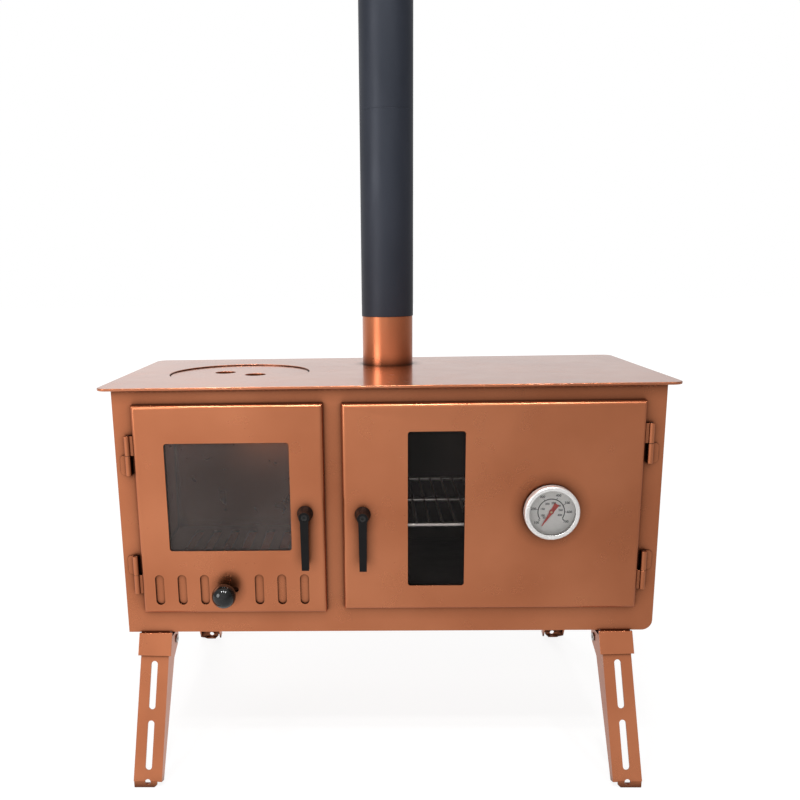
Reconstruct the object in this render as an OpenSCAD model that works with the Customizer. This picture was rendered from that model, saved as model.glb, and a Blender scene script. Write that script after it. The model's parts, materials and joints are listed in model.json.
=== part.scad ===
// Folding camp oven: a sheet steel box with a firebox on the left and an oven on the right, a hot top plate
// with a lift-out lid, a sectional flue and four legs that fold under the body.
// X runs to the right, Y away from the doors and Z up. The origin is on the floor under the middle of the body.

/* [Body] */
// Width of the body over its side walls
body_w = 570; // [560:1:640]
// Depth of the body from front frame to back panel
body_d = 250; // [240:1:300]
// Height of the body up to the underside of the top plate
body_h = 268; // [262:1:320]
// Thickness of the body sheet
sheet_t = 2; // [1.5:0.1:2.5]
// Outside radius of the fold between floor and right side
fold_r = 11; // [8:0.5:16]

/* [Top plate] */
// Thickness of the top plate and of the lid in it
plate_t = 3; // [2:0.1:5]
// How far the plate stands out over each side
plate_side = 15; // [6:1:30]
// How far the plate stands out over the front
plate_front = 8; // [6:0.5:12]
// How far the plate stands out over the back
plate_back = 12; // [6:1:30]
// Corner radius of the plate
plate_r = 12; // [4:1:20]
// Radius of the weld bead under the front edge
bead_r = 2.4; // [1:0.1:4]

/* [Hotplate] */
// Diameter of the lift-out lid
lid_d = 160; // [120:1:170]
// Gap all round the lid
lid_gap = 0.8; // [0.4:0.1:1.5]
// Depth of the lid's top below the plate's top
lid_sink = 1.6; // [0.2:0.1:2.2]
// Lid centre, measured from the left side of the body
lid_from_side = 116; // [110:1:120]
// Lid centre, measured from the front of the body
lid_from_front = 120; // [110:1:130]
// Width of the ledge that the lid rests on
ring_ledge = 8; // [4:0.5:14]
// Width of the ring outside the lid opening
ring_rim = 12; // [6:0.5:14]
// Thickness of the support ring
ring_t = 4; // [3:0.5:6]
// Diameter of the two grip holes
grip_d = 24; // [14:1:30]
// Distance between the grip holes
grip_pitch = 45; // [34:1:70]
// Turn of the row of grip holes
grip_turn = -31; // [-90:1:90]

/* [Flue] */
// Flue axis, measured to the right of the body's middle
flue_x = 5; // [-10:1:40]
// Distance of the flue from the back of the body
flue_from_back = 58; // [56:1:80]
// Bore of the collar
collar_bore = 56; // [50:0.5:57]
// Radial clearance of the collar in the plate
collar_fit = 0.1; // [0.05:0.05:0.3]
// Height of the collar up to its shoulder
collar_h = 59; // [30:1:100]
// Step from the necks out to the collar
collar_step = 0.7; // [0.5:0.1:1.1]
// Outside diameter of the necks that the sections slip over
neck_d = 60.4; // [60:0.1:70]
// Length of the necks
neck_h = 30; // [15:1:50]
// Radial clearance of a section on a neck
neck_fit = 0.2; // [0.1:0.05:0.4]
// Wall of the pipe sections
pipe_wall = 1.2; // [0.8:0.1:2]
// Length of one pipe section up to its shoulder
pipe_len = 236; // [120:1:400]

/* [Doors] */
// Depth of the folded door pans
door_proud = 8; // [7.6:0.1:12]
// Sheet thickness of the door pans
door_t = 2; // [1.5:0.1:2.2]
// Outside radius of the folds round the doors
door_r = 4.4; // [2.3:0.1:5]
// Running gap between the doors and the frame
door_gap = 0.3; // [0.2:0.05:0.6]
// How far the doors overlap their openings
door_lap = 10; // [9:0.5:12]
// Corner radius of the openings and windows
cut_r = 3; // [1:0.5:4]
// Width of the rope seals
seal_w = 3.5; // [3:0.1:3.8]
// Clearance between a seal and the door's fold
seal_fit = 0.3; // [0.1:0.1:0.3]
// Thickness of the glass panes
glass_t = 4; // [3:0.1:4.4]
// How far the panes overlap their windows
glass_lap = 5; // [3:0.5:6]
// Thickness of the strips that hold the panes
retainer_t = 1.2; // [0.8:0.1:1.3]
// How far the strips reach past the windows at the sides
retainer_side = 8; // [6.5:0.5:8.5]
// How far the strips reach past the windows above and below
retainer_end = 12; // [11.8:0.1:13]
// Distance of the studs from the edge of the window
stud_off = 8.7; // [8.4:0.1:8.8]
// How far the studs stand in from the window's sides
stud_in = 12; // [8:0.5:18]
// Diameter of the welded studs
stud_d = 4; // [3:0.5:4.5]
// Width across flats of the stud nuts
nut_flats = 7; // [6:0.5:8]
// Height of the stud nuts
nut_h = 2.4; // [1.6:0.1:4]

/* [Firebox door] */
// Width of the firebox door
fire_door_w = 198.5; // [196:0.5:199]
// Space between the firebox door and the top of the body
fire_door_top = 15; // [12:0.5:24]
// Distance from the body's side to the door
fire_door_in = 20.5; // [18:0.5:21]
// Distance from the body's bottom to the door
fire_door_up = 25; // [22:0.5:30]
// Distance of the window from the free edge of the firebox door
fire_win_out = 36; // [36:0.5:48]
// Distance of the window from the top of the firebox door
fire_win_top = 40.2; // [38:0.1:60]
// Window edge, measured from the door's hinge edge
fire_win_in = 32.5; // [28:0.5:32.5]
// Window edge, measured from the door's bottom
fire_win_up = 70.8; // [70.8:0.1:80]

/* [Vents] */
// Height of the vent slots
vent_h = 34; // [20:1:34]
// Width of the vent slots
vent_w = 9.5; // [6:0.1:9.5]
// Distance of the first vent slot from the hinge edge of the firebox door
vent_in = 14.25; // [13.5:0.05:18]
// First vent slot, measured from the middle of the row
vent_first = 29.4; // [26:0.1:29.4]
// Distance of the last vent slot from the free edge of the firebox door
vent_out = 18.75; // [18:0.05:24]
// Middle of the slots, measured from the door's bottom
vent_up = 27.1; // [26.5:0.1:30]
// How far the slider covers each slot all round
vent_cover = 0.35; // [0.3:0.05:0.4]
// Margin of the slider plate below the slots
slider_edge = 1.6; // [1:0.1:1.8]
// Margin of the slider plate above its guide studs
slider_rim = 3.6; // [2:0.1:4]
// Thickness of the slider plate
slider_t = 1.5; // [1:0.1:2]
// Running clearance of the slider
slider_fit = 0.2; // [0.15:0.05:0.4]
// Shank diameter of the two studs that carry the slider
guide_d = 5; // [3:0.1:5]
// Head diameter of those studs
guide_head_d = 9; // [8:0.5:10]
// Thickness of those heads
guide_head_t = 1.2; // [0.8:0.1:1.6]
// Distance between those studs
guide_pitch = 100; // [60:1:110]
// Height of those studs over the middle of the vent slots
guide_up = 23.9; // [23.9:0.1:24.5]
// Diameter of the knob stem
stem_d = 5; // [4:0.1:6]
// Closed place of the knob, left of the middle of the row
knob_off = 5.9; // [2:0.1:10]
// Diameter of the ball knob
knob_d = 25.5; // [20:0.5:30]
// Distance of the ball's centre from the door face
knob_out = 18; // [17:0.5:30]
// How far the ball's foot is cut flat
knob_flat = 1.2; // [0.5:0.1:3]

/* [Oven door] */
// Width of the frame between the two doors
door_web = 18.8; // [17:0.1:28]
// Space between the oven door and the top of the body
oven_door_top = 15.5; // [12:0.5:24]
// Distance from the body's side to the door
oven_door_in = 21.2; // [18:0.1:24]
// Distance from the body's bottom to the door
oven_door_up = 28.5; // [26:0.5:32]
// Width of the oven window
oven_win_w = 59.5; // [40:0.5:70]
// Distance of the window from the top of the oven door
oven_win_top = 29.5; // [22:0.5:50]
// Distance of the window from the free edge of the oven door
oven_win_out = 68.1; // [60:0.1:80]
// Window edge, measured from the door's bottom
oven_win_up = 27; // [22:0.5:36]

/* [Thermometer] */
// Outside diameter of the bezel
bezel_d = 57; // [50:0.5:66]
// Width of the bezel's front lip
bezel_lip = 4.7; // [4:0.1:8]
// Wall of the bezel round the case
bezel_wall = 2.4; // [1.5:0.1:3]
// Wall of the case
case_wall = 1.5; // [1:0.1:2.5]
// Depth of the case from door to lens
case_h = 9.5; // [9.2:0.1:16]
// Height of the dial over the door
dial_up = 4.2; // [3.5:0.1:5]
// Thickness of the dial
dial_t = 0.8; // [0.5:0.1:1.2]
// Thickness of the lens
lens_t = 1.5; // [1:0.1:2.5]
// Depth of the bezel lip over the lens
lip_t = 1.2; // [0.8:0.1:2]
// Thermometer axis, measured from the door's hinge edge
therm_in = 94.8; // [80:0.1:110]
// Thermometer axis, measured from the door's bottom
therm_up = 109.3; // [90:0.1:130]
// Length of the needle from its axis to its tip
needle_len = 17.6; // [10:0.1:20]
// Length of the needle's tail
needle_tail = 10; // [4:0.5:12]
// Thickness of the needle
needle_t = 0.7; // [0.5:0.1:1]
// Width of the needle's tail
needle_w = 5.2; // [2:0.1:6]
// Width of the needle's tip
needle_tip_w = 0.6; // [0.4:0.1:1]
// Diameter of the needle's hub
needle_hub_d = 4.8; // [4:0.1:7]
// Gap between needle and dial
needle_lift = 0.8; // [0.4:0.1:1.2]
// Angle of the cold needle below the horizontal
needle_start = 57.3; // [40:0.1:70]
// Diameter of the needle's arbor
arbor_d = 2.4; // [1.5:0.1:4]
// Diameter of the probe
probe_d = 6.4; // [5:0.1:8]
// Length of the probe behind the door face
probe_len = 58; // [30:1:90]
// Diameter of the probe's threaded neck
thread_d = 9.6; // [9:0.1:11]
// Width across flats of the back nut
back_nut_flats = 14; // [13:0.5:17]

/* [Hinges] */
// Diameter of the hinge barrels
barrel_d = 6.4; // [5:0.1:6.4]
// Length of one hinge, both halves together
hinge_len = 42; // [30:1:50]
// Gap between the two halves
hinge_split = 0.3; // [0.2:0.1:0.6]
// Hinge axis, measured from the door's edge
hinge_out = 6.3; // [5:0.1:7]
// Diameter of the hinge pins
hinge_pin_d = 3; // [2:0.1:4]
// Width of the leaf from the hinge axis
leaf_w = 9; // [7:0.5:11]
// Thickness of the leaves and of the door tabs
leaf_t = 1.6; // [1:0.1:2]
// Corner radius of the leaves
leaf_r = 4; // [1:0.5:5]
// Middle of the firebox door's lower hinge over the door's bottom
fire_hinge_low = 43; // [34:0.5:60]
// Distance of the upper firebox hinge from the top of its door
fire_hinge_top = 53.5; // [44:0.5:70]
// Middle of the oven door's lower hinge over the door's bottom
oven_hinge_low = 41.5; // [34:0.5:60]
// Distance of the upper oven hinge from the top of its door
oven_hinge_top = 45; // [40:0.5:70]

/* [Latches] */
// Latch axis, measured from the door's free edge
latch_in = 20.8; // [19:0.1:21.2]
// Firebox latch axis over the door's bottom
fire_latch_up = 111.5; // [100:0.5:125]
// Oven latch axis over the door's bottom
oven_latch_up = 106.5; // [100:0.5:125]
// Diameter of the latch spindles
spindle_d = 7; // [5:0.1:8]
// Outside diameter of the bushes in the doors
bush_d = 10; // [9.5:0.1:11.4]
// Diameter of the bush flanges
bush_flange_d = 12; // [11.8:0.1:12.4]
// Reach of the latch tongue from the spindle axis
tongue_reach = 15.5; // [13.5:0.1:16.5]
// Width of the latch tongue
tongue_w = 10; // [8.4:0.1:10]
// Thickness of the latch tongue
tongue_t = 2.5; // [2:0.1:4]
// Gap between the tongue and the back of the frame
tongue_gap = 0.6; // [0.4:0.1:1]
// Diameter of the handle's round foot
hub_d = 17; // [16:0.5:19]
// Diameter of the handle's front face
hub_face_d = 11.5; // [11:0.5:15]
// Depth of the handle hub
hub_h = 16; // [12:0.5:24]
// Gap between handle and door
hub_gap = 0.4; // [0.2:0.1:1]
// Length of the lever from the latch axis
lever_len = 57.4; // [40:0.2:70]
// Width of the lever at the hub
lever_w = 8.9; // [7:0.1:11]
// Width of the lever at its end
lever_end_w = 7.6; // [5:0.1:9]
// Thickness of the lever
lever_t = 7.5; // [4:0.5:10]
// Head diameter of the handle screw
screw_head_d = 6.4; // [5:0.1:8]
// Shank diameter of the handle screw
screw_d = 4; // [3:0.1:4.2]

/* [Firebox] */
// Height of the grate over the body's bottom
grate_up = 40; // [30:1:60]
// Thickness of the grate
grate_t = 4; // [2:0.5:6]
// Width of the grate's slots
grate_slot_w = 12; // [6:0.5:14]
// Distance between the grate's slots
grate_pitch = 24; // [20:0.5:30]
// Solid margin of the grate round its slots
grate_margin = 18; // [14:1:30]
// Clearance of the grate at its sides and ends
grate_gap = 4; // [2:0.5:6]
// Width of the ledges under the grate
ledge_w = 12; // [10:0.5:16]
// Thickness of the ledges
ledge_t = 2; // [1.5:0.1:3]

/* [Oven] */
// Wall of the oven box
oven_wall = 1.5; // [1:0.1:2]
// How far the oven box is wider than its opening, each side
oven_room = 8; // [7:0.5:9]
// Room behind the oven box
oven_back_room = 23; // [20:1:40]
// Height of the rack over the body's bottom
rack_up = 119; // [112:1:124]
// Distance between the three rack positions
rack_step = 45; // [30:1:52]
// Diameter of the rack's rim wire
rim_wire = 4.4; // [3:0.1:6]
// Diameter of the rack's inner wires
rack_wire = 2.6; // [2:0.1:4]
// Distance between the rack's inner wires
wire_pitch = 14; // [10:0.5:30]
// Room behind the rack
rack_back = 19.5; // [14:0.5:60]
// Gap between rack and oven wall at each side
rack_gap = 3; // [1:0.5:5]
// Gap between the rack's front wire and the door frame
rack_front = 2; // [1:0.5:8]
// Clearance between rack and runners
rack_fit = 0.2; // [0.1:0.05:0.3]
// Width of the rack runners
runner_w = 10; // [8:0.5:16]
// Thickness of the rack runners
runner_t = 1.5; // [1:0.1:3]

/* [Legs] */
// Height of the body's bottom over the floor
stand_h = 152; // [130:1:170]
// Width of the legs
leg_w = 30.4; // [24:0.2:33]
// Thickness of the leg sheet
leg_t = 2; // [1.5:0.1:2.5]
// Lean of the legs from upright
leg_lean = 21.5; // [14:0.5:24]
// Outward tilt of the legs towards the sides
leg_splay = 1.7; // [0:0.1:3]
// Middle of the left legs, measured from the body's left side
left_leg_in = 29.6; // [24:0.1:60]
// Middle of the right legs, measured from the body's right side
right_leg_in = 39.2; // [34:0.1:70]
// Leg pivot, measured from the body's front or back
pivot_in = 27; // [20:0.5:36]
// Leg pivot under the body's bottom
pivot_drop = 20; // [16:0.5:24]
// Distance from the pivot to the front of the leg's face
face_off = 33.4; // [30:0.1:36]
// Depth of the leg's side flanges below the ears
flange_top = 27.6; // [22:0.1:29]
// Depth of the leg's side flanges at the foot
flange_foot = 9.4; // [6:0.1:14]
// Where the ears begin, measured down from the pivot
ear_drop = 20.4; // [14:0.1:26]
// Radius of the ears round the pivot
ear_r = 10; // [7:0.5:12]
// How far round the ear its straight rear edge starts
ear_turn = 35; // [20:1:50]
// Length of the leg slots
leg_slot_len = 51; // [30:1:51]
// Width of the leg slots
leg_slot_w = 7; // [4:0.5:12]
// Top of the first slot, measured down from the pivot
leg_slot_top = 22.4; // [18:0.1:26]
// Solid web between the two slots
leg_slot_web = 11.6; // [6:0.1:14]
// Height of the lip at the foot
lip_h = 6.7; // [5:0.1:9]
// Width of the lip
lip_w = 24.5; // [18:0.1:29]
// How far the lip stays inside the leg's outer edge
lip_out = 0.5; // [0:0.1:1]
// Cut at the lip's lower inner corner
lip_cut = 3; // [1:0.5:5]
// Length of the foot plate that is turned in under the leg
foot_len = 6; // [4:0.5:20]
// Width of the foot plate's inner end
foot_tip = 12; // [8:0.5:18]
// Diameter of the peg hole in the foot
peg_d = 6.2; // [4:0.1:7]
// Diameter of the pivot rivets
rivet_d = 6; // [4:0.1:8]
// Bore of the hollow rivets
rivet_bore = 3.4; // [2:0.1:3.6]
// Diameter of the rivets' rims
rivet_rim_d = 9.4; // [9:0.1:14]
// Thickness of the rivets' rims
rivet_rim_t = 1.2; // [0.8:0.1:2]

/* [Brackets] */
// Width of the leg brackets
bracket_w = 36; // [34:1:46]
// Thickness of the bracket sheet
bracket_t = 2; // [1.5:0.1:2.5]
// Reach of the stop plate below the level of the pivot, along the leg
stop_reach = 16.7; // [8:0.1:18]
// Radius of the cheeks round the pivot
cheek_r = 9; // [6:0.5:11]
// Side clearance between cheeks, legs and rivets
cheek_gap = 0.3; // [0.2:0.05:0.6]

/* [Hidden] */

// Smoothness of large and of small round shapes
$fn = 96;
small_fn = 48;
// A cut runs this far past the face that it starts from
cut = 1;
// Radial clearance of pins, spindles and nuts
pin_fit = 0.05;

// Finishes as seen on the object
copper_paint = [0.72, 0.44, 0.33];
black_pipe = [0.2, 0.23, 0.28];
black_plastic = [0.08, 0.08, 0.09];
bright_steel = [0.8, 0.79, 0.77];
dark_iron = [0.25, 0.24, 0.24];
rope_grey = [0.45, 0.44, 0.42];
smoked_glass = [0.25, 0.22, 0.22, 0.6];
dial_white = [0.88, 0.87, 0.84];
needle_red = [0.75, 0.2, 0.2];

left_x = -body_w / 2;
right_x = body_w / 2;
lid_x = left_x + lid_from_side;
lid_hole_d = lid_d + 2 * lid_gap;
lid_z = body_h - lid_sink;

// Doors, windows and hinges from the body and the margins round them
fire_door_h = body_h - fire_door_up - fire_door_top;
oven_door_w = body_w - fire_door_in - fire_door_w - door_web - oven_door_in;
oven_door_h = body_h - oven_door_up - oven_door_top;
fire_win_w = fire_door_w - fire_win_in - fire_win_out;
fire_win_h = fire_door_h - fire_win_up - fire_win_top;
oven_win_in = oven_door_w - oven_win_out - oven_win_w;
oven_win_h = oven_door_h - oven_win_up - oven_win_top;
fire_hinge_high = fire_door_h - fire_hinge_top;
oven_hinge_high = oven_door_h - oven_hinge_top;

// Flue radii and place
flue_from_front = body_d - flue_from_back;
neck_r = neck_d / 2;
collar_r = neck_r + collar_step;
pipe_bore_r = neck_r + neck_fit;
pipe_r = pipe_bore_r + pipe_wall;
flue_base_z = body_h + plate_t;
lower_pipe_z = flue_base_z + collar_h;
upper_pipe_z = lower_pipe_z + pipe_len;

// Depth levels inside a door, with the door face in front at negative Y
pan_face_y = -door_proud;
pan_inner_y = pan_face_y + door_t;
retainer_y = pan_inner_y + glass_t;
nut_y = retainer_y + retainer_t;
seal_in = door_r + seal_fit;

// Vent slots, three on each side of their middle, and the slider behind them
vent_mid = (vent_in + fire_door_w - vent_out) / 2;
vent_last = (fire_door_w - vent_in - vent_out - vent_w) / 2;
vent_pitch = (vent_last - vent_first) / 2;
vent_offsets = [for (side = [-1, 1]) for (k = [0 : 2]) side * (vent_first + k * vent_pitch)];
vent_travel = vent_w + 2 * vent_cover;
slider_left = vent_mid - vent_last - vent_w / 2 - vent_cover;
slider_right = vent_mid + vent_last + vent_w / 2 + vent_cover;
slider_low = vent_up - vent_h / 2 - slider_edge;
slider_high = vent_up + guide_up + guide_d / 2 + slider_rim;
slider_y = pan_inner_y + slider_fit;
knob_in = vent_mid - knob_off;

// Hinge axis depth, so that a barrel clears the frame by the door gap
hinge_y = -barrel_d / 2 - door_gap;

// Latch levels
fire_latch_in = fire_door_w - latch_in;
oven_latch_in = oven_door_w - latch_in;
tongue_y = sheet_t + tongue_gap;
hub_back_y = pan_face_y - hub_gap;
screw_sink = 2.4;
screw_room = 0.3;
screw_low = 0.4;
screw_key = 3.4;
screw_key_deep = 1.2;

// Thermometer radii and levels
bezel_back = 3;
neck_end = 0.8;
back_nut_end = 1.2;
arbor_sink = 1;
dial_hole_gap = 0.4;
bezel_r = bezel_d / 2;
case_r = bezel_r - bezel_wall;
case_inner_r = case_r - case_wall;
case_front_y = pan_face_y - case_h;
dial_y = pan_face_y - dial_up;
needle_y = dial_y - dial_t - needle_lift;

// Oven box, measured like the doors from the hinge edge and the door's bottom
oven_in_low = door_lap - oven_room;
oven_inner_w = oven_door_w - 2 * oven_in_low;
oven_inner_h = oven_door_h - 2 * oven_in_low;
oven_left_x = right_x - oven_door_in - oven_in_low - oven_inner_w - oven_wall;
oven_depth = body_d - 2 * sheet_t - oven_back_room;
oven_inner_d = oven_depth - oven_wall;
rack_d = oven_inner_d - rack_front - rack_back;

// Legs, in the frame of the pivot
pivot_z = stand_h - pivot_drop;
leg_len = (pivot_z - lip_h + face_off * sin(leg_lean)) / cos(leg_lean);
bend_y = -face_off * cos(leg_lean) - leg_len * sin(leg_lean);
foot_x = (lip_h - pivot_z) * sin(leg_splay);
cheek_out = leg_w / 2 - leg_t - cheek_gap;
lip_lap = 0.6;
peg_low = 0.6;

module place() {
    translate([0, -body_d / 2, stand_h]) children();
}

// Frame of the firebox door: X runs from its hinge edge to its free edge, Z starts at its bottom
module fire_side() {
    place() translate([left_x + fire_door_in, 0, fire_door_up]) children();
}

module oven_side() {
    place() translate([right_x - oven_door_in, 0, oven_door_up]) mirror([1, 0, 0]) children();
}

// Extrudes a drawing of width and height into the depth, from y0 backwards
module upright(y0, depth) {
    translate([0, y0 + depth, 0]) rotate([90, 0, 0]) linear_extrude(height = depth) children();
}

// Extrudes a drawing of depth and height across the width, from x0 to the right
module sideways(x0, width) {
    translate([x0, 0, 0]) rotate([90, 0, 90]) linear_extrude(height = width) children();
}

module rod_y(x, z, y0, len, r) {
    translate([x, y0, z]) rotate([-90, 0, 0]) cylinder(h = len, r = r, $fn = small_fn);
}

module rounded_rect(w, h, r) {
    translate([r, 0]) square([w - 2 * r, h]);
    translate([0, r]) square([w, h - 2 * r]);
    for (x = [r, w - r]) for (y = [r, h - r]) translate([x, y]) circle(r = r, $fn = small_fn);
}

module slot_2d(w, h) {
    translate([-w / 2, -h / 2 + w / 2]) square([w, h - w]);
    for (side = [-1, 1]) translate([0, side * (h - w) / 2]) circle(d = w, $fn = small_fn);
}

module flat_slot_2d(len, w) {
    rotate(90) slot_2d(w, len);
}

// Front view of the body, with the folded corner at the lower right, set in all round
module body_outline(inset) {
    r = fold_r - inset;
    translate([left_x + inset, inset]) square([body_w - 2 * inset - r, body_h - inset]);
    translate([left_x + inset, inset + r]) square([body_w - 2 * inset, body_h - inset - r]);
    translate([right_x - inset - r, inset + r]) circle(r = r, $fn = small_fn);
}

module left_side_panel() {
    color(copper_paint) place()
        translate([left_x, sheet_t, 0]) cube([sheet_t, body_d - 2 * sheet_t, body_h]);
}

module floor_and_right_side() {
    color(copper_paint) place() upright(sheet_t, body_d - 2 * sheet_t) difference() {
        body_outline(0);
        translate([0, cut]) body_outline(sheet_t);
        body_outline(sheet_t);
        translate([left_x - cut, -cut]) square([sheet_t + cut, body_h + 2 * cut]);
    }
}

module back_panel() {
    color(copper_paint) place() upright(body_d - sheet_t, sheet_t) body_outline(0);
}

module door_opening(w, h) {
    translate([door_lap, 0, door_lap])
        upright(-cut, sheet_t + 2 * cut) rounded_rect(w - 2 * door_lap, h - 2 * door_lap, cut_r);
}

module front_frame() {
    color(copper_paint) difference() {
        place() upright(0, sheet_t) body_outline(0);
        fire_side() door_opening(fire_door_w, fire_door_h);
        oven_side() door_opening(oven_door_w, oven_door_h);
    }
}

module top_plate() {
    w = body_w + 2 * plate_side;
    d = body_d + plate_front + plate_back;
    color(copper_paint) place() translate([0, 0, body_h]) difference() {
        translate([-w / 2, -plate_front, 0]) linear_extrude(height = plate_t) rounded_rect(w, d, plate_r);
        translate([lid_x, lid_from_front, -cut]) cylinder(h = plate_t + 2 * cut, d = lid_hole_d);
        translate([flue_x, flue_from_front, -cut]) cylinder(h = plate_t + 2 * cut, r = collar_r + collar_fit);
    }
}

// A quarter-round bead in the corner under the plate's front edge
module weld_bead() {
    len = body_w - 2 * fold_r;
    color(copper_paint) place() intersection() {
        translate([-len / 2, 0, body_h]) rotate([0, 90, 0]) cylinder(h = len, r = bead_r, $fn = small_fn);
        translate([-len / 2, -2 * bead_r, body_h - 2 * bead_r]) cube([len, 2 * bead_r, 2 * bead_r]);
    }
}

// Stepped ring under the plate: its rim is fixed to the plate and its ledge carries the sunk lid
module hotplate_ring() {
    color(dark_iron) place() translate([lid_x, lid_from_front, body_h - ring_t]) difference() {
        cylinder(h = ring_t, d = lid_hole_d + 2 * ring_rim);
        translate([0, 0, -cut]) cylinder(h = ring_t + 2 * cut, d = lid_d - 2 * ring_ledge);
        translate([0, 0, ring_t - lid_sink]) cylinder(h = lid_sink + cut, d = lid_hole_d);
    }
}

module hotplate_lid() {
    color(copper_paint) place() translate([lid_x, lid_from_front, lid_z]) difference() {
        cylinder(h = plate_t, d = lid_d);
        rotate(grip_turn) for (side = [-1, 1])
            translate([side * grip_pitch / 2, 0, -cut]) cylinder(h = plate_t + 2 * cut, d = grip_d, $fn = small_fn);
    }
}

module on_flue(z) {
    place() translate([flue_x, flue_from_front, z]) children();
}

// The collar stands in the plate's hole, flush with the underside of the plate
module flue_collar() {
    len = plate_t + collar_h;
    color(copper_paint) on_flue(body_h) difference() {
        union() {
            cylinder(h = len, r = collar_r);
            cylinder(h = len + neck_h, r = neck_r);
        }
        translate([0, 0, -cut]) cylinder(h = len + neck_h + 2 * cut, d = collar_bore);
    }
}

// One pipe section: a wide body that slips over the neck below it, and a swaged neck at its top
module flue_section() {
    difference() {
        union() {
            cylinder(h = pipe_len, r = pipe_r);
            cylinder(h = pipe_len + neck_h, r = neck_r);
        }
        translate([0, 0, -cut]) cylinder(h = pipe_len - pipe_wall + cut, r = pipe_bore_r);
        translate([0, 0, -cut]) cylinder(h = pipe_len + neck_h + 2 * cut, r = neck_r - pipe_wall);
    }
}

module flue_section_lower() {
    color(black_pipe) on_flue(lower_pipe_z) flue_section();
}

module flue_section_upper() {
    color(black_pipe) on_flue(upper_pipe_z) flue_section();
}

module oven_box() {
    inner_x = oven_in_low;
    color(dark_iron) oven_side() translate([inner_x, sheet_t, oven_in_low]) difference() {
        translate([-oven_wall, 0, -oven_wall])
            cube([oven_inner_w + 2 * oven_wall, oven_depth, oven_inner_h + 2 * oven_wall]);
        translate([0, -cut, 0]) cube([oven_inner_w, oven_inner_d + cut, oven_inner_h]);
    }
}

// Three pairs of angle runners on the side walls of the oven
module rack_runners() {
    seat_z = rack_up - oven_door_up - rim_wire / 2 - rack_fit;
    run_d = oven_inner_d - rack_front;
    color(dark_iron) oven_side() for (k = [-1 : 1]) {
        for (side = [0, 1]) {
            edge = side == 0 ? oven_in_low : oven_in_low + oven_inner_w;
            shelf_x = side == 0 ? edge : edge - runner_w;
            web_x = side == 0 ? edge : edge - runner_t;
            translate([shelf_x, sheet_t + rack_front, seat_z + k * rack_step - runner_t])
                cube([runner_w, run_d, runner_t]);
            translate([web_x, sheet_t + rack_front, seat_z + k * rack_step - runner_w])
                cube([runner_t, run_d, runner_w]);
        }
    }
}

module wire_x(x, y, len, d) {
    translate([x, y, 0]) rotate([0, 90, 0]) cylinder(h = len, d = d, $fn = 16);
}

// Rim wire with three cross rails below and many fine wires that run front to back
module oven_rack() {
    w = oven_inner_w - 2 * rack_gap - rim_wire;
    d = rack_d - rim_wire;
    count = floor(w / wire_pitch);
    first = (w - (count - 2) * wire_pitch) / 2;
    color(bright_steel) oven_side()
        translate([oven_in_low + rack_gap + rim_wire / 2, sheet_t + rack_front + rim_wire / 2, rack_up - oven_door_up]) {
            for (y = [0, d / 2, d]) wire_x(0, y, w, rim_wire);
            for (x = [0, w]) {
                translate([x, 0, 0]) rotate([-90, 0, 0]) cylinder(h = d, d = rim_wire, $fn = 16);
                for (y = [0, d]) translate([x, y, 0]) sphere(d = rim_wire, $fn = 16);
            }
            for (k = [0 : count - 2])
                translate([first + k * wire_pitch, 0, 0]) rotate([-90, 0, 0]) cylinder(h = d, d = rack_wire, $fn = 16);
        }
}

module grate_ledges() {
    color(dark_iron) place() for (x = [left_x + sheet_t, oven_left_x - ledge_w])
        translate([x, sheet_t, grate_up - ledge_t]) cube([ledge_w, body_d - 2 * sheet_t, ledge_t]);
}

module fire_grate() {
    x0 = left_x + sheet_t + grate_gap;
    w = oven_left_x - grate_gap - x0;
    d = body_d - 2 * sheet_t - 2 * grate_gap;
    count = floor((w - 2 * grate_margin - grate_slot_w) / grate_pitch) + 1;
    first = (w - (count - 1) * grate_pitch) / 2;
    color(dark_iron) place() translate([x0, sheet_t + grate_gap, grate_up]) difference() {
        cube([w, d, grate_t]);
        for (k = [0 : count - 1]) translate([first + k * grate_pitch, d / 2, -cut])
            linear_extrude(height = grate_t + 2 * cut) slot_2d(grate_slot_w, d - 2 * grate_margin);
    }
}

// Drawing of a folded pan: square at the back, round at the two front corners
module pan_profile(w, depth, r) {
    translate([r, 0]) square([w - 2 * r, depth]);
    translate([0, r]) square([w, depth - r]);
    intersection() {
        square([w, depth]);
        for (x = [r, w - r]) translate([x, r]) circle(r = r, $fn = small_fn);
    }
}

// A block whose four front edges are rounded, with its front at y = 0
module pan_block(w, h, depth, r) {
    intersection() {
        linear_extrude(height = h) pan_profile(w, depth, r);
        translate([w, 0, 0]) rotate([0, -90, 0]) linear_extrude(height = w)
            pan_profile(h, depth, r);
    }
}

module door_pan(w, h) {
    depth = door_proud - door_gap;
    translate([0, pan_face_y, 0]) difference() {
        pan_block(w, h, depth, door_r);
        translate([door_t, door_t, door_t])
            pan_block(w - 2 * door_t, h - 2 * door_t, depth, max(door_r - door_t, 0.2));
    }
}

module window_cut(x, z, w, h, y0, depth) {
    translate([x, 0, z]) upright(y0, depth) rounded_rect(w, h, cut_r);
}

// Calls its children at the four stud places round a window
module at_studs(x, z, w, h) {
    for (px = [x + stud_in, x + w - stud_in]) for (pz = [z - stud_off, z + h + stud_off])
        translate([px, 0, pz]) children();
}

module glass_studs(x, z, w, h) {
    at_studs(x, z, w, h) rod_y(0, 0, pan_inner_y, nut_y + nut_h - pan_inner_y, stud_d / 2);
}

module glass_pane(x, z, w, h) {
    translate([x - glass_lap, pan_inner_y, z - glass_lap]) cube([w + 2 * glass_lap, glass_t, h + 2 * glass_lap]);
}

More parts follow.
